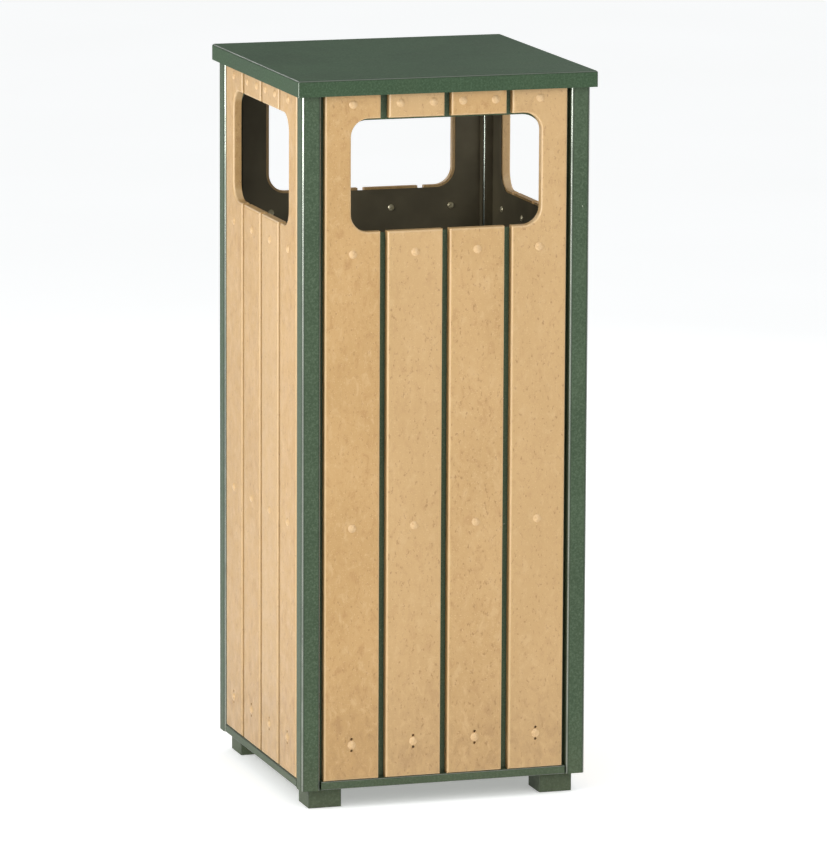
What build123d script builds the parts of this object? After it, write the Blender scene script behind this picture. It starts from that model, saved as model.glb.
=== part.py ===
"""Side-opening litter bin: steel corner posts and sheet panels, riveted plastic slats, hinged lid, liner.

Millimetres, +Z up. The origin is on the ground under the centre of the bin, and the front faces -Y.
"""

import os

from build123d import *

# --- overall sizes -------------------------------------------------------------------------------------
BODY = 330.2            # outside of the corner posts, both ways
HEIGHT = 812.8          # ground to the top of the lid
LID_OVERHANG = 6.35     # lid's skirt outside the posts, all round

# --- steel frame ---------------------------------------------------------------------------------------
POST = 22.2             # square tube, outside
POST_CORNER = 4.2       # outside corner radius of the tube
TUBE_WALL = 1.2
TOP_RAIL = 12.7         # square tube under the lid
BOTTOM_RAIL = 9.5       # height of the tube that the slats stand on, which is as deep as the slats
RAIL_END_GAP = 1.2      # bottom rail to post, at each end
RAIL_CORNER = 1.5

FOOT = 38.1             # square foot, outside
FOOT_HEIGHT = 22.2
FOOT_INSET = 11.5       # post's outer face to foot's outer face
FOOT_WALL = 1.5
FOOT_CORNER = 1.2

PANEL_SHEET = 1.0
PANEL_FLANGE_STOP = 1.5     # return flange's edge short of the post's inner face
PANEL_BEND = 1.4

PAN_SHEET = 1.2
PAN_UPSTAND = 14.0
PAN_CLEAR = 0.3         # pan's upstands to the side panels
PAN_CORNER_CLEAR = 4.0  # upstand's ends to the panels' return flanges
DRAIN_HOLE = 12.0
DRAIN_SPACING = 150.0

# --- slats ---------------------------------------------------------------------------------------------
SLATS = 4               # per side
SLAT_THICKNESS = 9.5
SLAT_GAP = 7.9
SLAT_END_GAP = 4.05     # outer slat to post
SLAT_SETBACK = 0.8      # slat's face behind the posts' face
SLAT_TOP_CLEAR = 1.0    # slat's top to the top rail
SLAT_EDGE = 2.8         # rounding of the slat's outer edges
UPPER_BLOCK_DRIFT = 1.4  # short upper blocks sit this far to the right of the slats below

# --- side opening --------------------------------------------------------------------------------------
OPENING_SIDE = 33.9     # post to opening
OPENING_HEIGHT = 124.3
OPENING_DROP = 26.8     # lid's skirt to opening
OPENING_CORNER = 20.0
NOTCH_TIP = 3.2         # rounding where the opening meets a slat's long edge
PANEL_OPENING_SIDE = 3.5    # panel's cut-out wider than the slats', each side
PANEL_OPENING_DROP = 2.5    # panel's cut-out lower than the slats'

# --- slat rivets ---------------------------------------------------------------------------------------
RIVET_HEAD = 9.4
RIVET_HEAD_HEIGHT = 1.9
RIVET_SHANK = 4.8
RIVET_HOLE = 5.0
RIVET_TAIL = 7.2
RIVET_TAIL_HEIGHT = 1.6
RIVET_TAIL_BORE = 2.6
BOTTOM_ROW = 39.7       # above the slats' lower ends
MIDDLE_ROW = 315.1      # above the ground
UPPER_ROW = 24.0        # below the opening
TOP_ROW = 10.4          # below the lid's skirt
BLOCK_RIVET_SPACING = 37.5          # two rivets in each short upper block
PILOT_HOLE = 3.0                    # above and below each bottom rivet
PILOT_OFFSET = 6.6
PILOT_DEPTH = 5.0

# --- lid and hinge -------------------------------------------------------------------------------------
LID_SHEET = 1.2
LID_SKIRT = 18.0
LID_BEND = 2.4
LID_CORNER = 1.6
LID_SEAT = 0.2          # lid's underside to the top of the posts

HINGE_LENGTH = 259.0
HINGE_KNUCKLES = 13
HINGE_KNUCKLE_GAP = 0.4
HINGE_KNUCKLE = 2.7     # radius
HINGE_PIN = 1.25        # radius
HINGE_PLAY = 0.05       # radial, pin to knuckle
HINGE_LEAF = 1.0
HINGE_LEAF_TOP = 3.2    # lid's underside to the leaves' top edges
HINGE_DROP = 0.2        # skirt's lower edge to the knuckles
HINGE_PIN_HEAD = 2.0    # radius
HINGE_PIN_HEAD_LENGTH = 1.0
HINGE_RIVETS = (-122.0, -81.5, 0.0, 81.5, 122.0)
HINGE_RIVET_HEAD = 5.4
HINGE_RIVET_HEAD_HEIGHT = 1.0
HINGE_RIVET_SHANK = 3.2

# --- liner ---------------------------------------------------------------------------------------------
LINER_CLEAR = 15.8      # rim to the side panels
LINER_TAPER = 10.0      # each wall leans in by this much at the bottom
LINER_DROP = 62.1       # opening's lower edge to the rim
LINER_WALL = 2.6
LINER_CORNER = 32.0
LINER_RIM = 5.0         # rim stands out of the wall by this much
LINER_RIM_DEPTH = 14.0
LINER_SEAT = 0.2

# --- worked out ----------------------------------------------------------------------------------------
HALF = BODY / 2
LID = BODY + 2 * LID_OVERHANG
LID_UNDERSIDE = HEIGHT - LID_SHEET
POST_TOP = LID_UNDERSIDE - LID_SEAT
BETWEEN_POSTS = BODY - 2 * POST
SKIRT_BOTTOM = HEIGHT - LID_SKIRT
TOP_RAIL_BOTTOM = POST_TOP - TOP_RAIL
SLAT_BOTTOM = FOOT_HEIGHT + BOTTOM_RAIL
SLAT_TOP = TOP_RAIL_BOTTOM - SLAT_TOP_CLEAR
SLAT_PITCH = (BETWEEN_POSTS - 2 * SLAT_END_GAP + SLAT_GAP) / SLATS
SLAT_WIDTH = SLAT_PITCH - SLAT_GAP
OPENING_WIDTH = BETWEEN_POSTS - 2 * OPENING_SIDE
OPENING_TOP = SKIRT_BOTTOM - OPENING_DROP
OPENING_BOTTOM = OPENING_TOP - OPENING_HEIGHT
RIVET_ROWS = (SLAT_BOTTOM + BOTTOM_ROW, MIDDLE_ROW, OPENING_BOTTOM - UPPER_ROW)    # in the long slats
RIVET_ROW_TOP = SKIRT_BOTTOM - TOP_ROW
PANEL_FACE = SLAT_SETBACK + SLAT_THICKNESS      # depth of the panel's outer face behind the posts' face
PANEL_INSIDE = PANEL_FACE + PANEL_SHEET
PANEL_FLANGE = POST - PANEL_FACE - PANEL_FLANGE_STOP
PAN_SIZE = BODY - 2 * (PANEL_INSIDE + PAN_CLEAR)
HINGE_Y = HALF + LID_OVERHANG / 2               # midway from the posts' face to the skirt's face
HINGE_Z = SKIRT_BOTTOM - HINGE_DROP - HINGE_KNUCKLE
LINER_BASE = FOOT_HEIGHT + PAN_SHEET + LINER_SEAT
LINER_RIM_TOP = OPENING_BOTTOM - LINER_DROP
LINER_MOUTH = BODY - 2 * (PANEL_INSIDE + LINER_CLEAR + LINER_RIM)   # outside of the wall just under the rim
LINER_BOTTOM = LINER_MOUTH - 2 * LINER_TAPER
RIVET_DOME = (RIVET_HEAD**2 / 4 + RIVET_HEAD_HEIGHT**2) / (2 * RIVET_HEAD_HEIGHT)   # radius of the domed head

SIDES = {"front": (0, -1), "right": (1, 0), "rear": (0, 1), "left": (-1, 0)}
CORNERS = {
    "front_left": (-1, -1),
    "front_right": (1, -1),
    "rear_right": (1, 1),
    "rear_left": (-1, 1),
}


def save(part, name):
    """Labels a finished part and writes its STEP file."""
    part.label = name
    export_step(part, f"parts/{name}.step")


def outward(side):
    return Vector(*SIDES[side], 0)


def along(side):
    """To the right, as seen by someone facing that side."""
    return outward(side).rotate(Axis.Z, 90)


def face_plane(side, depth=0.0):
    """Upright plane of one side: x to the right, y up from the ground, z outward."""
    return Plane(origin=outward(side) * (HALF - depth), x_dir=along(side), z_dir=outward(side))


def plan_plane(side, height):
    """Level plane at the middle of one side: x to the right, y inward from the posts' face."""
    return Plane(origin=outward(side) * HALF + Vector(0, 0, height), x_dir=along(side), z_dir=(0, 0, 1))


def section_plane(side):
    """Cross-section through the middle of one side: x outward from the posts' face, y up."""
    return Plane(origin=outward(side) * HALF, x_dir=outward(side), z_dir=-along(side))


def slat_centre(number):
    return (number - (SLATS + 1) / 2) * SLAT_PITCH


def long_rivet_points():
    """Centres of the rivets in the long slats and in the outer slats' top ends."""
    points = [(slat_centre(n), z) for n in range(1, SLATS + 1) for z in RIVET_ROWS]
    points += [(slat_centre(n), RIVET_ROW_TOP) for n in (1, SLATS)]
    return points


def block_rivet_points(number):
    centre = slat_centre(number) + UPPER_BLOCK_DRIFT
    return [(centre + half * BLOCK_RIVET_SPACING / 2, RIVET_ROW_TOP) for half in (-1, 1)]


def rivet_points():
    points = long_rivet_points()
    for number in range(2, SLATS):
        points += block_rivet_points(number)
    return points


# --- frame ---------------------------------------------------------------------------------------------
def make_post(name, corner):
    centre = tuple(sign * (HALF - POST / 2) for sign in corner)
    with BuildPart() as post:
        with BuildSketch(Plane.XY.offset(FOOT_HEIGHT)):
            with Locations(centre):
                RectangleRounded(POST, POST, POST_CORNER)
                RectangleRounded(
                    POST - 2 * TUBE_WALL, POST - 2 * TUBE_WALL, POST_CORNER - TUBE_WALL, mode=Mode.SUBTRACT
                )
        extrude(amount=POST_TOP - FOOT_HEIGHT)
    save(post.part, f"post_{name}")


def make_rail(name, side, depth, height, bottom, length, setback, rivet_holes=()):
    """Tube along one side, its outer face a set-back behind the posts' face."""
    with BuildPart() as rail:
        with BuildSketch(section_plane(side)):
            with Locations((-setback - depth / 2, bottom + height / 2)):
                RectangleRounded(depth, height, RAIL_CORNER)
                Rectangle(depth - 2 * TUBE_WALL, height - 2 * TUBE_WALL, mode=Mode.SUBTRACT)
        extrude(amount=length / 2, both=True)
        if rivet_holes:
            with BuildSketch(face_plane(side, setback)):
                with Locations(*rivet_holes):
                    Circle(HINGE_RIVET_SHANK / 2)
            extrude(amount=-TUBE_WALL, mode=Mode.SUBTRACT)
    save(rail.part, name)


def make_panel(side):
    """Sheet panel between two posts, with return flanges and the side opening."""
    width = BETWEEN_POSTS
    centre_height = (OPENING_BOTTOM + OPENING_TOP) / 2 - PANEL_OPENING_DROP
    with BuildPart() as panel:
        with BuildSketch(plan_plane(side, FOOT_HEIGHT)):
            with Locations((0, PANEL_FACE + PANEL_FLANGE / 2)):
                Rectangle(width, PANEL_FLANGE)
            with Locations((0, PANEL_INSIDE + PANEL_FLANGE / 2)):
                Rectangle(width - 2 * PANEL_SHEET, PANEL_FLANGE, mode=Mode.SUBTRACT)
        extrude(amount=TOP_RAIL_BOTTOM - FOOT_HEIGHT)
        bends = panel.edges().filter_by(Axis.Z).group_by(Axis(face_plane(side).origin, outward(side)))[-1]
        fillet(bends, PANEL_BEND)
        with BuildSketch(face_plane(side, PANEL_FACE)):
            with Locations((0, centre_height)):
                RectangleRounded(
                    OPENING_WIDTH + 2 * PANEL_OPENING_SIDE, OPENING_HEIGHT, OPENING_CORNER + PANEL_OPENING_SIDE
                )
            with Locations(*rivet_points()):
                Circle(RIVET_HOLE / 2)
        extrude(amount=-PANEL_SHEET, mode=Mode.SUBTRACT)
    save(panel.part, f"panel_{side}")


def make_base_pan():
    """Folded tray that carries the liner; its corners are notched round the posts."""
    notch = POST - PANEL_INSIDE - PAN_CLEAR + PANEL_SHEET
    with BuildPart() as pan:
        with BuildSketch(Plane.XY.offset(FOOT_HEIGHT)):
            Rectangle(PAN_SIZE, PAN_SIZE)
            with GridLocations(PAN_SIZE, PAN_SIZE, 2, 2):
                Rectangle(2 * notch, 2 * notch, mode=Mode.SUBTRACT)
            with GridLocations(DRAIN_SPACING, DRAIN_SPACING, 2, 2):
                Circle(DRAIN_HOLE / 2, mode=Mode.SUBTRACT)
        extrude(amount=PAN_SHEET)
        upstand = BETWEEN_POSTS - 2 * (PANEL_SHEET + PAN_CORNER_CLEAR)
        for side in SIDES:
            with BuildSketch(plan_plane(side, FOOT_HEIGHT)):
                with Locations((0, PANEL_INSIDE + PAN_CLEAR + PAN_SHEET / 2)):
                    Rectangle(upstand, PAN_SHEET)
            extrude(amount=PAN_UPSTAND)
    save(pan.part, "base_pan")


def make_foot(name, corner):
    """Box foot, closed below, set in from both faces of its post."""
    centre = tuple(sign * (HALF - FOOT_INSET - FOOT / 2) for sign in corner)
    with BuildPart() as foot:
        with BuildSketch():
            with Locations(centre):
                RectangleRounded(FOOT, FOOT, FOOT_CORNER)
        extrude(amount=FOOT_HEIGHT)
        fillet(foot.faces().sort_by(Axis.Z)[0].edges(), FOOT_CORNER / 2)
        with BuildSketch(Plane.XY.offset(FOOT_WALL)):
            with Locations(centre):
                Rectangle(FOOT - 2 * FOOT_WALL, FOOT - 2 * FOOT_WALL)
        extrude(amount=FOOT_HEIGHT, mode=Mode.SUBTRACT)
    save(foot.part, f"foot_{name}")


# --- slats ---------------------------------------------------------------------------------------------
def soften(part, side):
    """Rounds every edge of the slat's outer face."""
    outer = part.faces().sort_by(Axis(face_plane(side).origin, outward(side)))[-1]
    fillet(outer.edges(), SLAT_EDGE)


def make_outer_slat(side, number):
    """Full-height slat beside a post, cut away at the opening."""
    centre = slat_centre(number)
    toward_middle = 1 if number == 1 else -1
    with BuildPart() as slat:
        with BuildSketch(face_plane(side, PANEL_FACE)) as outline:
            with Locations((centre, (SLAT_BOTTOM + SLAT_TOP) / 2)):
                Rectangle(SLAT_WIDTH, SLAT_TOP - SLAT_BOTTOM)
            with Locations((0, (OPENING_BOTTOM + OPENING_TOP) / 2)):
                RectangleRounded(OPENING_WIDTH, OPENING_HEIGHT, OPENING_CORNER, mode=Mode.SUBTRACT)
            edge = centre + toward_middle * SLAT_WIDTH / 2
            tips = [
                v
                for v in outline.vertices()
                if abs(outline.workplanes[0].to_local_coords(v).X - edge) < SLAT_EDGE
                and OPENING_BOTTOM - SLAT_EDGE < v.Z < OPENING_TOP + SLAT_EDGE
            ]
            fillet(tips, NOTCH_TIP)
        extrude(amount=SLAT_THICKNESS)
        soften(slat, side)
        cut_fastener_holes(side, long_rivet_points(), centre)
    save(slat.part, f"slat_{side}_{number}")


def make_block(name, side, centre, bottom, top, rivets):
    """Straight piece of slat."""
    with BuildPart() as block:
        with BuildSketch(face_plane(side, PANEL_FACE)):
            with Locations((centre, (bottom + top) / 2)):
                Rectangle(SLAT_WIDTH, top - bottom)
        extrude(amount=SLAT_THICKNESS)
        soften(block, side)
        cut_fastener_holes(side, rivets, centre)
    save(block.part, name)


def cut_fastener_holes(side, rivets, centre):
    """Rivet holes through the slat in progress, and blind pilot holes about its bottom rivet."""
    mine = [point for point in rivets if abs(point[0] - centre) < SLAT_WIDTH / 2]
    with BuildSketch(face_plane(side, PANEL_FACE)) as holes:
        with Locations(*mine):
            Circle(RIVET_HOLE / 2)
    extrude(holes.sketch, amount=SLAT_THICKNESS, mode=Mode.SUBTRACT)
    pilots = [(x, z + offset) for x, z in mine if z == RIVET_ROWS[0] for offset in (-PILOT_OFFSET, PILOT_OFFSET)]
    if pilots:
        with BuildSketch(face_plane(side, SLAT_SETBACK)) as pilot_holes:
            with Locations(*pilots):
                Circle(PILOT_HOLE / 2)
        extrude(pilot_holes.sketch, amount=-PILOT_DEPTH, mode=Mode.SUBTRACT)


def make_slats(side):
    for number in (1, SLATS):
        make_outer_slat(side, number)
    for number in range(2, SLATS):
        centre = slat_centre(number)
        name = f"slat_{side}_{number}"
        make_block(f"{name}_lower", side, centre, SLAT_BOTTOM, OPENING_BOTTOM, long_rivet_points())
        make_block(
            f"{name}_upper", side, centre + UPPER_BLOCK_DRIFT, OPENING_TOP, SLAT_TOP, block_rivet_points(number)
        )


def make_slat_rivets(side):
    """Domed rivets with a hollow tail set against the panel; in the profile x is the radius, z runs outward."""
    grip = SLAT_THICKNESS + PANEL_SHEET
    tail_end = -grip - RIVET_TAIL_HEIGHT
    with BuildPart(mode=Mode.PRIVATE) as rivet:
        with BuildSketch(Plane.XZ):
            with BuildLine():
                Polyline(
                    (0, RIVET_HEAD_HEIGHT),
                    (0, -grip),
                    (RIVET_TAIL_BORE / 2, -grip),
                    (RIVET_TAIL_BORE / 2, tail_end),
                    (RIVET_TAIL / 2 - RIVET_TAIL_HEIGHT / 2, tail_end),
                    (RIVET_TAIL / 2, tail_end + RIVET_TAIL_HEIGHT / 2),
                    (RIVET_TAIL / 2, -grip),
                    (RIVET_SHANK / 2, -grip),
                    (RIVET_SHANK / 2, 0),
                    (RIVET_HEAD / 2, 0),
                )
                RadiusArc((RIVET_HEAD / 2, 0), (0, RIVET_HEAD_HEIGHT), -RIVET_DOME)
            make_face()
        revolve(axis=Axis.Z)
    with BuildPart() as rivets:
        with Locations(face_plane(side, SLAT_SETBACK)):
            with Locations(*rivet_points()):
                add(rivet.part)
    save(rivets.part, f"slat_rivets_{side}")


# --- lid and hinge -------------------------------------------------------------------------------------
def make_lid():
    with BuildPart() as lid:
        with BuildSketch(Plane.XY.offset(SKIRT_BOTTOM)):
            RectangleRounded(LID, LID, LID_CORNER)
        extrude(amount=LID_SKIRT)
        fillet(lid.faces().sort_by(Axis.Z)[-1].edges(), LID_BEND)
        with BuildSketch(Plane.XY.offset(SKIRT_BOTTOM)):
            Rectangle(LID - 2 * LID_SHEET, LID - 2 * LID_SHEET)
        extrude(amount=LID_SKIRT - LID_SHEET, mode=Mode.SUBTRACT)
        with BuildSketch(lid_rivet_plane()):
            with Locations(*hinge_rivet_points()):
                Circle(HINGE_RIVET_SHANK / 2)
        extrude(amount=-LID_SHEET, mode=Mode.SUBTRACT)
    save(lid.part, "lid")


def lid_rivet_plane():
    """Outer face of the lid's rear skirt."""
    return face_plane("rear", -LID_OVERHANG)


def hinge_rivet_points():
    height = (SKIRT_BOTTOM + LID_UNDERSIDE - HINGE_LEAF_TOP) / 2
    return [(x, height) for x in HINGE_RIVETS]


def make_leaf(name, outer_face, first_knuckle):
    """Hinge leaf with every second knuckle; its plate's outer face is at the given y."""
    top = LID_UNDERSIDE - HINGE_LEAF_TOP
    step = HINGE_LENGTH / HINGE_KNUCKLES
    length = step - HINGE_KNUCKLE_GAP
    xs = [-HINGE_LENGTH / 2 + (n + 0.5) * step for n in range(first_knuckle, HINGE_KNUCKLES, 2)]
    plate_y = outer_face - HINGE_LEAF / 2
    knuckle_top = HINGE_Z + HINGE_KNUCKLE + HINGE_DROP / 2
    with BuildPart() as leaf:
        with BuildSketch(Plane.XY.offset(knuckle_top)):
            with Locations((0, plate_y)):
                Rectangle(HINGE_LENGTH, HINGE_LEAF)
        extrude(amount=top - knuckle_top)
        with BuildSketch(Plane.XY.offset(HINGE_Z)):
            with Locations(*[(x, plate_y) for x in xs]):
                Rectangle(length, HINGE_LEAF)
        extrude(amount=knuckle_top - HINGE_Z)
        with Locations(*[(x, HINGE_Y, HINGE_Z) for x in xs]):
            Cylinder(HINGE_KNUCKLE, length, rotation=(0, 90, 0))
        with Locations((0, HINGE_Y, HINGE_Z)):
            Cylinder(HINGE_PIN + HINGE_PLAY, HINGE_LENGTH, rotation=(0, 90, 0), mode=Mode.SUBTRACT)
        with BuildSketch(face_plane("rear", HALF - outer_face)):
            with Locations(*hinge_rivet_points()):
                Circle(HINGE_RIVET_SHANK / 2)
        extrude(amount=-HINGE_LEAF, mode=Mode.SUBTRACT)
    save(leaf.part, name)


def make_hinge_pin():
    """Pin with a peened head at each end."""
    with BuildPart() as pin:
        with BuildSketch(Plane.YZ.offset(-HINGE_LENGTH / 2)):
            with Locations((HINGE_Y, HINGE_Z)):
                Circle(HINGE_PIN)
        extrude(amount=HINGE_LENGTH)
        for end in (-1, 1):
            with BuildSketch(Plane.YZ.offset(end * HINGE_LENGTH / 2)):
                with Locations((HINGE_Y, HINGE_Z)):
                    Circle(HINGE_PIN_HEAD)
            extrude(amount=end * HINGE_PIN_HEAD_LENGTH)
    save(pin.part, "hinge_pin")


def make_hinge_rivets(name, head_face, grip):
    """Rivets with a low head on the outside and a flush tail."""
    with BuildPart() as rivets:
        with BuildSketch(face_plane("rear", HALF - head_face)):
            with Locations(*hinge_rivet_points()):
                Circle(HINGE_RIVET_SHANK / 2)
        extrude(amount=-grip)
        with BuildSketch(face_plane("rear", HALF - head_face)):
            with Locations(*hinge_rivet_points()):
                Circle(HINGE_RIVET_HEAD / 2)
        extrude(amount=HINGE_RIVET_HEAD_HEIGHT)
        heads = rivets.faces().sort_by(Axis.Y)[-len(HINGE_RIVETS):]
        fillet([edge for head in heads for edge in head.edges()], HINGE_RIVET_HEAD_HEIGHT / 2)
    save(rivets.part, name)


# --- liner ---------------------------------------------------------------------------------------------
def make_liner():
    """Rigid tapered bucket with a turned-down rim."""
    with BuildPart() as liner:
        with BuildSketch(Plane.XY.offset(LINER_BASE)):
            RectangleRounded(LINER_BOTTOM, LINER_BOTTOM, LINER_CORNER)
        with BuildSketch(Plane.XY.offset(LINER_RIM_TOP)):
            RectangleRounded(LINER_MOUTH, LINER_MOUTH, LINER_CORNER)
        loft()
        with BuildSketch(Plane.XY.offset(LINER_RIM_TOP)):
            rim = LINER_MOUTH + 2 * LINER_RIM
            RectangleRounded(rim, rim, LINER_CORNER + LINER_RIM)
        extrude(amount=-LINER_RIM_DEPTH)
        fillet(liner.faces().sort_by(Axis.Z)[-1].edges(), LINER_WALL)
        with BuildSketch(Plane.XY.offset(LINER_BASE + LINER_WALL)):
            inside = LINER_BOTTOM - 2 * LINER_WALL
            RectangleRounded(inside, inside, LINER_CORNER - LINER_WALL)
        with BuildSketch(Plane.XY.offset(LINER_RIM_TOP)):
            inside = LINER_MOUTH - 2 * LINER_WALL
            RectangleRounded(inside, inside, LINER_CORNER - LINER_WALL)
        loft(mode=Mode.SUBTRACT)
        with BuildSketch(Plane.XY.offset(LINER_RIM_TOP - LINER_RIM_DEPTH)):
            outer = LINER_MOUTH + 2 * (LINER_RIM - LINER_WALL)
            RectangleRounded(outer, outer, LINER_CORNER + LINER_RIM - LINER_WALL)
            RectangleRounded(LINER_MOUTH, LINER_MOUTH, LINER_CORNER, mode=Mode.SUBTRACT)
        extrude(amount=LINER_RIM_DEPTH - LINER_WALL, mode=Mode.SUBTRACT)
    save(liner.part, "liner")


def main():
    os.makedirs("parts", exist_ok=True)
    for name, corner in CORNERS.items():
        make_post(name, corner)
        make_foot(name, corner)
    rail_length = BETWEEN_POSTS - 2 * RAIL_END_GAP
    for side in SIDES:
        hinge_holes = hinge_rivet_points() if side == "rear" else ()
        make_rail(f"top_rail_{side}", side, TOP_RAIL, TOP_RAIL, TOP_RAIL_BOTTOM, BETWEEN_POSTS, 0, hinge_holes)
        make_rail(
            f"bottom_rail_{side}", side, SLAT_THICKNESS, BOTTOM_RAIL, FOOT_HEIGHT, rail_length, SLAT_SETBACK
        )
        make_panel(side)
        make_slats(side)
        make_slat_rivets(side)
    make_base_pan()
    make_lid()
    make_leaf("hinge_leaf_frame", HALF + HINGE_LEAF, 0)
    make_leaf("hinge_leaf_lid", LID / 2 - LID_SHEET, 1)
    make_hinge_pin()
    make_hinge_rivets("hinge_rivets_frame", HALF + HINGE_LEAF, HINGE_LEAF + TUBE_WALL)
    make_hinge_rivets("hinge_rivets_lid", LID / 2, LID_SHEET + HINGE_LEAF)
    make_liner()


main()
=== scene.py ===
"""Looks of the litter bin: materials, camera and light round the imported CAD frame."""

import math

import bpy
from mathutils import Matrix, Vector

# --- places on the bin, metres -------------------------------------------------------------------------
RIVET_HEAD_PLANE = 0.1545   # rivets are tan outside this half width and bare metal inside it
DUST_TOP = 0.10             # ground dust on the green steel fades out at this height
SLAT_DARKENING_TOP = 0.20            # the slats' darkening towards the bottom fades out at this height
SLAT_DARKENING_FULL = 0.03           # and is at its strongest from here down
PIECE_SHIFT = 3.0           # longest shift of a piece's texture along each axis

# --- colours, 8-bit sRGB -------------------------------------------------------------------------------
FRAME_GREEN = (68, 85, 63), (60, 77, 56)    # light and dark tone of the powder coat
LID_GREEN = (56, 78, 54), (49, 70, 47)
# brown of the panels' inner faces: dust and painted warm bounce light of the shaded inside
INNER_DUST_AND_BOUNCE = (108, 100, 78)
ROAD_DUST = (116, 106, 84)
PRIMER = (158, 164, 146)
BARE_STEEL = (128, 133, 124)

SLAT_DARK = (181, 143, 88)
SLAT_LIGHT = (189, 151, 97)
SLAT_BLEACHED = (194, 162, 116)
MOTTLE_DARK = (168, 126, 74)
MOTTLE_LIGHT = (198, 163, 115)
FLECK_BROWN = (140, 100, 58)
SPECK_PALE = (212, 180, 134)
SLAT_LOW_DARK = (140, 112, 78)
# painted highlight on the slats' rounded edges
SLAT_EDGE_HIGHLIGHT = (226, 198, 156)

HEAD_DARK = (200, 165, 118)
HEAD_LIGHT = (212, 180, 134)
HEAD_SCUFF = (180, 144, 99)
TAIL_DARK = (178, 168, 134)
TAIL_LIGHT = (214, 206, 176)

LINER_DARK = (34, 35, 34)
LINER_LIGHT = (44, 45, 43)
LINER_SCUFF = (92, 92, 88)
LINER_EDGE = (74, 74, 71)

ZINC_BRIGHT = (176, 178, 176)
ZINC_DULL = (128, 124, 114)

FLOOR_DARK = (238, 238, 236)
FLOOR_LIGHT = (243, 243, 242)

# --- studio: metres, degrees and watts; sensor and lens in millimetres ---------------------------------
SENSOR = 36.0
LENS = 279.4
CAMERA_TARGET = (0.0151, 0.0, 0.3883)
CAMERA_AZIMUTH = -17.58
CAMERA_ELEVATION = 10.43
CAMERA_DISTANCE = 7.531
CAMERA_ROLL = 0.26
CAMERA_REACH = 100.0        # nothing farther away is drawn

FLOOR_SIZE = 80
FLOOR_DROP = 0.0005         # floor's top under the feet
FLOOR_GLOW = 0.36
BACKGROUND_LEVEL = 0.94
DOME_COLOUR = (0.96, 0.98, 1.0, 1.0)
DOME_RAMP = {"From Min": 0.16, "From Max": 0.75, "To Min": 0.05, "To Max": 0.9}

MIDDLE = (0, 0, 0.45)
OPENINGS = (0, 0, 0.70)
LID = (0, 0, 0.81)
LAMPS = (                   # name, location, target, size, power, seen in reflections only
    ("left", (-1.6, -0.6, 1.1), MIDDLE, (0.9, 1.2), 22, False),
    ("left_sheen", (-1.55, -0.50, 0.76), OPENINGS, (0.9, 0.5), 16, True),
    ("front", (0.7, -2.4, 1.5), MIDDLE, (1.6, 1.4), 23, False),
    ("rear", (1.7, 1.7, 1.4), MIDDLE, (1.2, 1.2), 12, False),
    ("lid_sheen", (-0.40, 2.0, 1.45), LID, (0.4, 0.4), 2.5, True),
)


def linear(red, green, blue):
    """Scene-linear colour from 8-bit sRGB values."""
    return tuple(
        value / 255 / 12.92 if value <= 10 else ((value / 255 + 0.055) / 1.055) ** 2.4
        for value in (red, green, blue)
    ) + (1.0,)


def raised(colour, levels):
    """An sRGB colour made lighter by a number of levels, or darker by a negative number."""
    return [value + levels for value in colour]


def scaled(colour, factor):
    return [value * factor for value in colour]


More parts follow.
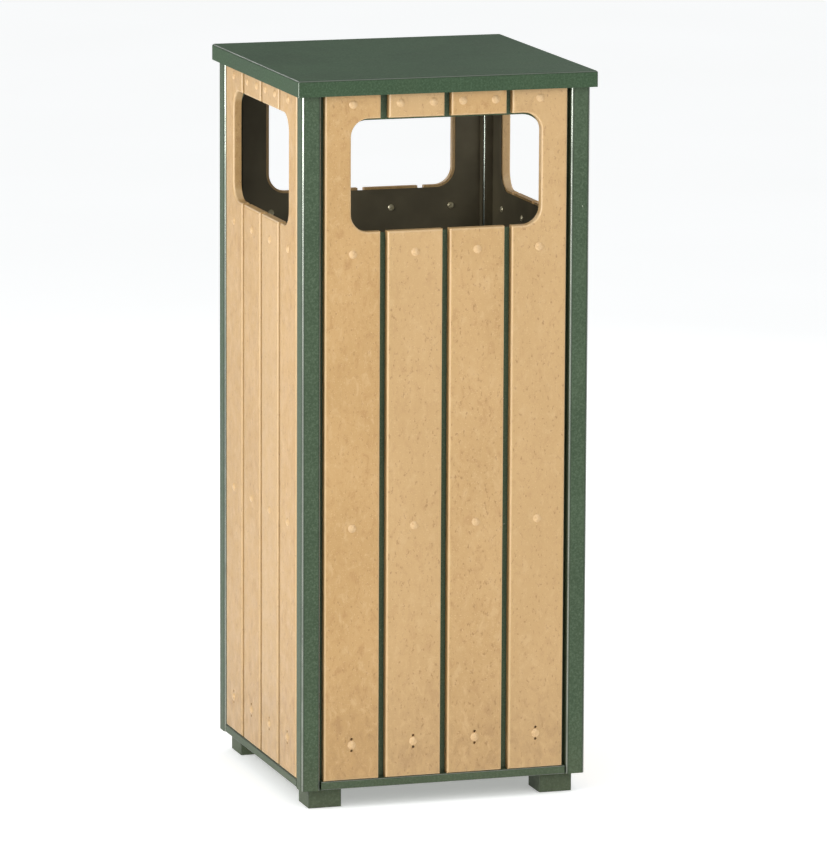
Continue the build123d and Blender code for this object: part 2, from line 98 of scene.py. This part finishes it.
class Finish:
    """A material and the small vocabulary used to build its node tree."""

    def __init__(self, name):
        self.material = bpy.data.materials.new(name)
        self.material.use_nodes = True
        self.tree = self.material.node_tree
        self.shader = self.tree.nodes["Principled BSDF"]
        self.texture = self.add("ShaderNodeTexCoord")
        self.place = self.texture.outputs["Object"]

    def add(self, kind, **settings):
        node = self.tree.nodes.new(kind)
        for name, value in settings.items():
            setattr(node, name, value)
        return node

    def feed(self, socket, value):
        """Links an output to the socket, or sets its constant."""
        if isinstance(value, bpy.types.NodeSocket):
            self.tree.links.new(value, socket)
        else:
            socket.default_value = value

    def math(self, operation, *values, clamp=False):
        node = self.add("ShaderNodeMath", operation=operation, use_clamp=clamp)
        for socket, value in zip(node.inputs, values):
            self.feed(socket, value)
        return node.outputs[0]

    def noise(self, scale, detail=3.0, roughness=0.5, place=None, distortion=0.0):
        node = self.add("ShaderNodeTexNoise")
        self.feed(node.inputs["Vector"], place or self.place)
        node.inputs["Scale"].default_value = scale
        node.inputs["Detail"].default_value = detail
        node.inputs["Roughness"].default_value = roughness
        node.inputs["Distortion"].default_value = distortion
        return node.outputs[0]

    def spread(self, value, low, high, start=0.0, end=1.0):
        """Maps low..high to start..end, smoothly and clamped."""
        node = self.add("ShaderNodeMapRange", interpolation_type="SMOOTHSTEP")
        self.feed(node.inputs["Value"], value)
        node.inputs["From Min"].default_value = low
        node.inputs["From Max"].default_value = high
        node.inputs["To Min"].default_value = start
        node.inputs["To Max"].default_value = end
        return node.outputs[0]

    def mix(self, factor, first, second):
        node = self.add("ShaderNodeMix", data_type="RGBA")
        colours = [socket for socket in node.inputs if socket.type == "RGBA"]
        self.feed(node.inputs[0], factor)
        self.feed(colours[0], first)
        self.feed(colours[1], second)
        return next(socket for socket in node.outputs if socket.type == "RGBA")

    def axis(self, name):
        node = self.add("ShaderNodeSeparateXYZ")
        self.feed(node.inputs[0], self.place)
        return node.outputs[name]

    def stretched(self, x, y, z, place=None):
        """Coordinates scaled along each axis, for streaks and brushing."""
        node = self.add("ShaderNodeMapping")
        self.feed(node.inputs["Vector"], place or self.place)
        node.inputs["Scale"].default_value = (x, y, z)
        return node.outputs[0]

    def own_place(self):
        """Coordinates shifted by a random step for each piece, so that neighbours don't repeat."""
        chance = self.add("ShaderNodeObjectInfo").outputs["Random"]
        node = self.add("ShaderNodeVectorMath", operation="ADD")
        shift = self.add("ShaderNodeCombineXYZ")
        for socket in shift.inputs:
            self.feed(socket, self.math("MULTIPLY", chance, PIECE_SHIFT))
        self.feed(node.inputs[0], self.place)
        self.feed(node.inputs[1], shift.outputs[0])
        return node.outputs[0], chance

    def turn(self):
        """0 on the object's upright and level faces, rising to 0.29 in the middle of a rounded bend."""
        split = self.add("ShaderNodeSeparateXYZ")
        self.feed(split.inputs[0], self.texture.outputs["Normal"])
        x, y, z = (self.math("ABSOLUTE", socket) for socket in split.outputs)
        main = self.math("MAXIMUM", self.math("MAXIMUM", x, y), z)
        return self.math("SUBTRACT", 1.0, main)

    def facing_in(self):
        """1 where the surface faces the upright line through the bin's centre, 0 where it faces away."""
        flat = self.add("ShaderNodeVectorMath", operation="MULTIPLY")
        self.feed(flat.inputs[0], self.place)
        flat.inputs[1].default_value = (1.0, 1.0, 0.0)
        agree = self.add("ShaderNodeVectorMath", operation="DOT_PRODUCT")
        self.feed(agree.inputs[0], flat.outputs[0])
        self.feed(agree.inputs[1], self.add("ShaderNodeNewGeometry").outputs["True Normal"])
        return self.math("LESS_THAN", agree.outputs["Value"], 0.0)

    def bump(self, *layers):
        """Chains (height, distance in metres) layers into the shader's normal."""
        normal = None
        for height, distance in layers:
            node = self.add("ShaderNodeBump")
            node.inputs["Distance"].default_value = distance
            self.feed(node.inputs["Height"], height)
            if normal:
                self.feed(node.inputs["Normal"], normal)
            normal = node.outputs[0]
        self.feed(self.shader.inputs["Normal"], normal)

    def finish(self, **sockets):
        for name, value in sockets.items():
            self.feed(self.shader.inputs[name.replace("_", " ")], value)
        return self.material


def painted(name, light, dark, gloss, wear=1.0, soil=0.10, inside=None):
    """Satin powder coat: fine orange peel, cloudy tone, painted shade along the bends, burnished bends, few
    chips, dust near the ground.
    """
    f = Finish(name)
    cloud = f.noise(7.0, detail=4.0, roughness=0.6)
    grain = f.noise(420.0, detail=2.0, roughness=0.7)
    colour = f.mix(f.spread(cloud, 0.32, 0.68), linear(*dark), linear(*light))
    colour = f.mix(f.spread(grain, 0.45, 0.75, 0.0, 0.6), colour, linear(*raised(light, 18)))
    colour = f.mix(f.spread(grain, 0.55, 0.25, 0.0, 0.5), colour, linear(*raised(dark, -14)))
    # inner faces turn a mottled brown: dust, plus painted warm bounce light where the inside lies in shade
    if inside:
        dust_and_bounce = f.spread(f.noise(14.0, detail=5.0), 0.3, 0.7)
        dust_and_bounce = f.mix(dust_and_bounce, linear(*inside), linear(*scaled(inside, 0.82)))
        colour = f.mix(f.facing_in(), colour, dust_and_bounce)

    low = f.spread(f.axis("Z"), DUST_TOP, 0.0)
    streaks = f.spread(f.noise(30.0, detail=5.0, place=f.stretched(1, 1, 0.12)), 0.5, 0.75)
    dusty = f.math("ADD", low, f.math("MULTIPLY", streaks, 0.3))
    dusty = f.math("MULTIPLY", dusty, soil, clamp=True)
    colour = f.mix(dusty, colour, linear(*ROAD_DUST))
    chips = f.spread(f.noise(170.0, detail=2.0, roughness=0.4), 0.785, 0.805)
    colour = f.mix(f.math("MULTIPLY", chips, 0.8), colour, linear(*PRIMER))

    turn = f.turn()
    # painted shade: the paint is darkened over each rounded bend, so a dark line shows beside the worn steel
    bend_shade = f.spread(turn, 0.0, 0.05, 0.0, 0.45)
    colour = f.mix(bend_shade, colour, linear(*scaled(dark, 0.4)))
    patchy = f.spread(f.noise(22.0, detail=4.0), 0.30, 0.55, 0.7, 1.0)
    worn = f.math("MULTIPLY", f.spread(turn, 0.07, 0.20), patchy)
    worn = f.math("MULTIPLY", worn, wear)
    colour = f.mix(worn, colour, linear(*BARE_STEEL))

    rough = f.spread(cloud, 0.3, 0.7, gloss - 0.04, gloss + 0.05)
    rough = f.math("ADD", rough, f.math("MULTIPLY", dusty, 0.3))
    rough = f.math("SUBTRACT", rough, f.math("MULTIPLY", worn, gloss - 0.24))
    f.bump((f.noise(650.0, detail=2.0), 0.00005), (f.noise(9.0, detail=1.0), 0.0005))
    f.shader.inputs["Specular IOR Level"].default_value = 0.22
    return f.finish(Base_Color=colour, Roughness=rough, Metallic=f.math("MULTIPLY", worn, 0.9))


def recycled(name):
    """Tan recycled-plastic board: soft mottling drawn out along the board, brown flecks and pale specks."""
    f = Finish(name)
    place, chance = f.own_place()
    along = f.stretched(1.0, 1.0, 0.6, place)
    tone = f.spread(f.noise(16.0, detail=3.0, place=along), 0.3, 0.7)
    body = f.mix(tone, linear(*SLAT_DARK), linear(*SLAT_LIGHT))
    mottle = f.noise(105.0, detail=4.0, roughness=0.65, place=along, distortion=0.6)
    body = f.mix(f.spread(mottle, 0.52, 0.70, 0.0, 0.75), body, linear(*MOTTLE_DARK))
    body = f.mix(f.spread(mottle, 0.48, 0.30, 0.0, 0.7), body, linear(*MOTTLE_LIGHT))
    body = f.mix(f.spread(chance, 1.0, 0.0, 0.0, 0.5), body, linear(*SLAT_BLEACHED))
    flecks = f.noise(330.0, detail=3.0, roughness=0.6, place=along)
    body = f.mix(f.spread(flecks, 0.58, 0.72, 0.0, 0.6), body, linear(*FLECK_BROWN))
    specks = f.noise(640.0, detail=2.0, place=place)
    body = f.mix(f.spread(specks, 0.60, 0.72, 0.0, 0.5), body, linear(*SPECK_PALE))

    # the slats turn darker towards the bottom, mottled
    low = f.spread(f.axis("Z"), SLAT_DARKENING_TOP, SLAT_DARKENING_FULL)
    low_darkening = f.math("MULTIPLY", low, f.spread(mottle, 0.3, 0.7, 0.08, 0.32))
    body = f.mix(low_darkening, body, linear(*SLAT_LOW_DARK))
    # painted highlight: paler tan along the rounded edges of the boards
    body = f.mix(f.spread(f.turn(), 0.02, 0.15, 0.0, 0.4), body, linear(*SLAT_EDGE_HIGHLIGHT))
    rough = f.spread(f.noise(60.0, detail=3.0, place=place), 0.3, 0.7, 0.38, 0.48)
    f.bump((flecks, 0.00008), (mottle, 0.00012))
    f.shader.inputs["Specular IOR Level"].default_value = 0.5
    return f.finish(Base_Color=body, Roughness=rough)


def rivets(name):
    """Tan enamelled heads outside the slats, bare brass-grey tails inside."""
    f = Finish(name)
    reach = f.math("MAXIMUM", f.math("ABSOLUTE", f.axis("X")), f.math("ABSOLUTE", f.axis("Y")))
    tail = f.math("LESS_THAN", reach, RIVET_HEAD_PLANE)
    grain = f.noise(900.0, detail=2.0)
    scuff = f.spread(f.noise(240.0, detail=3.0), 0.52, 0.68)
    head = f.mix(f.spread(grain, 0.3, 0.75), linear(*HEAD_DARK), linear(*HEAD_LIGHT))
    head = f.mix(f.math("MULTIPLY", scuff, 0.5), head, linear(*HEAD_SCUFF))
    bare = f.mix(f.spread(f.noise(260.0), 0.35, 0.7), linear(*TAIL_DARK), linear(*TAIL_LIGHT))
    colour = f.mix(tail, head, bare)
    rough = f.math("SUBTRACT", f.spread(grain, 0.3, 0.7, 0.34, 0.46), f.math("MULTIPLY", tail, 0.04))
    f.bump((grain, 0.00004))
    return f.finish(Base_Color=colour, Roughness=rough, Metallic=f.math("MULTIPLY", tail, 0.35))


def moulded(name):
    """Black moulded plastic of the liner: fine leather grain and scuffs down its walls."""
    f = Finish(name)
    grain = f.noise(800.0, detail=3.0, roughness=0.6)
    scuffs = f.spread(f.noise(70.0, detail=5.0, place=f.stretched(1, 1, 0.15)), 0.56, 0.72)
    colour = f.mix(f.spread(grain, 0.3, 0.7), linear(*LINER_DARK), linear(*LINER_LIGHT))
    colour = f.mix(f.math("MULTIPLY", scuffs, 0.35), colour, linear(*LINER_SCUFF))
    colour = f.mix(f.spread(f.turn(), 0.10, 0.28, 0.0, 0.3), colour, linear(*LINER_EDGE))
    rough = f.math("ADD", f.spread(grain, 0.3, 0.7, 0.42, 0.52), f.math("MULTIPLY", scuffs, 0.12))
    f.bump((grain, 0.00008), (scuffs, 0.00005))
    return f.finish(Base_Color=colour, Roughness=rough)


def zinc_steel(name):
    """Zinc-plated pin steel: fine turning marks and a few dull patches."""
    f = Finish(name)
    marks = f.noise(60.0, detail=3.0, place=f.stretched(40, 1, 1))
    patches = f.spread(f.noise(120.0, detail=4.0), 0.5, 0.66)
    colour = f.mix(patches, linear(*ZINC_BRIGHT), linear(*ZINC_DULL))
    rough = f.math("ADD", f.spread(marks, 0.3, 0.7, 0.26, 0.36), f.math("MULTIPLY", patches, 0.25))
    f.bump((marks, 0.00002))
    return f.finish(Base_Color=colour, Roughness=rough, Metallic=1.0)


def floor_paint():
    """Matt white studio floor that glows a little, as a light table does."""
    f = Finish("studio_floor")
    tone = f.mix(f.noise(2.0, detail=3.0), linear(*FLOOR_DARK), linear(*FLOOR_LIGHT))
    f.shader.inputs["Emission Color"].default_value = (1.0, 1.0, 1.0, 1.0)
    f.shader.inputs["Emission Strength"].default_value = FLOOR_GLOW
    return f.finish(Base_Color=tone, Roughness=0.7)


def aim(obj, location, target, roll=0.0):
    """Places obj at location with its -Z axis through target, turned by roll about that axis."""
    back = (Vector(location) - Vector(target)).normalized()
    right = Vector((0, 0, 1)).cross(back).normalized()
    up = back.cross(right)
    axes = Matrix((right, up, back)).transposed().to_4x4()
    obj.matrix_world = Matrix.Translation(location) @ axes @ Matrix.Rotation(roll, 4, "Z")


def add_camera():
    data = bpy.data.cameras.new("camera")
    data.sensor_width = SENSOR
    data.lens = LENS
    data.clip_end = CAMERA_REACH
    camera = bpy.data.objects.new("camera", data)
    bpy.context.scene.collection.objects.link(camera)
    azimuth = math.radians(CAMERA_AZIMUTH)
    elevation = math.radians(CAMERA_ELEVATION)
    away = Vector(
        (
            math.sin(azimuth) * math.cos(elevation),
            -math.cos(azimuth) * math.cos(elevation),
            math.sin(elevation),
        )
    )
    target = Vector(CAMERA_TARGET)
    aim(camera, target + away * CAMERA_DISTANCE, target, roll=math.radians(CAMERA_ROLL))
    bpy.context.scene.camera = camera


def add_area(name, location, target, size, power, sheen_only):
    """Rectangular lamp; with sheen_only it shows in glossy reflections and casts no light on matt faces."""
    data = bpy.data.lights.new(name, "AREA")
    data.shape = "RECTANGLE"
    data.size, data.size_y = size
    data.energy = power
    lamp = bpy.data.objects.new(name, data)
    lamp.visible_diffuse = not sheen_only
    bpy.context.scene.collection.objects.link(lamp)
    aim(lamp, location, target)


def add_world():
    """Soft dome: dim at the horizon and bright overhead, behind a plain pale background."""
    world = bpy.data.worlds.new("studio")
    world.use_nodes = True
    tree = world.node_tree
    height = tree.nodes.new("ShaderNodeSeparateXYZ")
    tree.links.new(tree.nodes.new("ShaderNodeTexCoord").outputs["Generated"], height.inputs[0])
    ramp = tree.nodes.new("ShaderNodeMapRange")
    ramp.interpolation_type = "SMOOTHSTEP"
    for name, value in DOME_RAMP.items():
        ramp.inputs[name].default_value = value
    tree.links.new(height.outputs["Z"], ramp.inputs["Value"])
    dome = tree.nodes["Background"]
    dome.inputs["Color"].default_value = DOME_COLOUR
    tree.links.new(ramp.outputs[0], dome.inputs["Strength"])
    plain = tree.nodes.new("ShaderNodeBackground")
    plain.inputs["Color"].default_value = (1.0, 1.0, 1.0, 1.0)
    plain.inputs["Strength"].default_value = BACKGROUND_LEVEL
    seen = tree.nodes.new("ShaderNodeMixShader")
    tree.links.new(tree.nodes.new("ShaderNodeLightPath").outputs["Is Camera Ray"], seen.inputs[0])
    tree.links.new(dome.outputs[0], seen.inputs[1])
    tree.links.new(plain.outputs[0], seen.inputs[2])
    tree.links.new(seen.outputs[0], tree.nodes["World Output"].inputs["Surface"])
    bpy.context.scene.world = world


def add_studio():
    bpy.context.scene.view_settings.view_transform = "Standard"
    add_world()
    for lamp in LAMPS:
        add_area(*lamp)
    bpy.ops.mesh.primitive_plane_add(size=FLOOR_SIZE, location=(0, 0, -FLOOR_DROP))
    floor = bpy.context.object
    floor.name = "floor"
    floor.data.materials.append(floor_paint())


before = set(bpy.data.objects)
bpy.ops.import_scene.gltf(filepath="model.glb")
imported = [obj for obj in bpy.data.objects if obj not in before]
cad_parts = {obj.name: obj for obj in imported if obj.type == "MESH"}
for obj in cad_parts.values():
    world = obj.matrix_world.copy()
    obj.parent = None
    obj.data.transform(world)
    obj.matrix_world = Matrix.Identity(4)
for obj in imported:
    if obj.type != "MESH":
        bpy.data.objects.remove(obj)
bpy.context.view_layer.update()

finishes = {
    "frame_green": painted("frame_finish", *FRAME_GREEN, 0.46),
    "lid_green": painted("lid_finish", *LID_GREEN, 0.55, wear=0.6),
    "panel_green": painted("panel_finish", *FRAME_GREEN, 0.50, wear=0.5, inside=INNER_DUST_AND_BOUNCE),
    "foot_green": painted("foot_finish", *FRAME_GREEN, 0.46, wear=0.4, soil=0.16),
    "slat_plastic": recycled("slat_finish"),
    "rivet_tan": rivets("rivet_finish"),
    "liner_plastic": moulded("liner_finish"),
    "pin_steel": zinc_steel("pin_finish"),
}
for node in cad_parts.values():
    node.data.materials[0] = finishes[node.data.materials[0].name]
add_camera()
add_studio()
